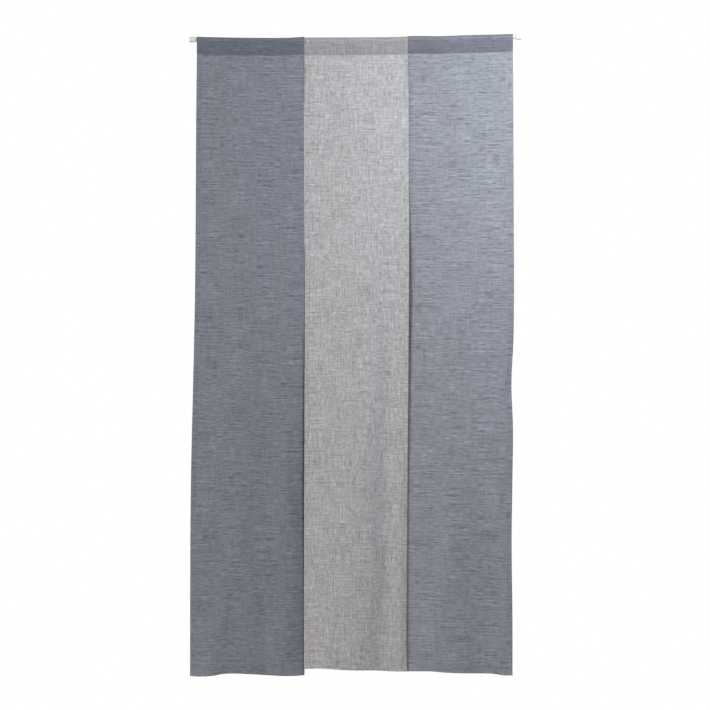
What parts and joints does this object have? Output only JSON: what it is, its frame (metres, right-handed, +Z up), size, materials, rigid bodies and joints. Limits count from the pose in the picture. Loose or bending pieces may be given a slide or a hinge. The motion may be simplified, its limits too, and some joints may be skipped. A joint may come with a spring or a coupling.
{
  "type": "noren curtain on a rod",
  "caption": "Divided doorway curtain: long semi-sheer cloth strips side by side, each with a sewn rod pocket, hanging on a slim round rod with end caps.",
  "frame": {"origin": "centre of the flat outer face of the rod's left end cap", "axes": "+X along the rod to the viewer's right, +Y away from the viewer, +Z up; the front of the cloth faces -Y"},
  "size_m": [0.892, 0.0197, 1.7283],
  "materials": {
    "blue_grey_cloth": "semi-sheer slubbed linen-look weave, blue-grey",
    "pale_grey_cloth": "semi-sheer slubbed linen-look weave, pale grey",
    "white_rod": "satin white coat on a steel tube",
    "white_cap": "matt white"
  },
  "bodies": {
    "root": {"panel_left": "blue_grey_cloth", "panel_centre": "pale_grey_cloth", "panel_right": "blue_grey_cloth", "rod": "white_rod", "cap_left": "white_cap", "cap_right": "white_cap"}
  },
  "joints": []
}
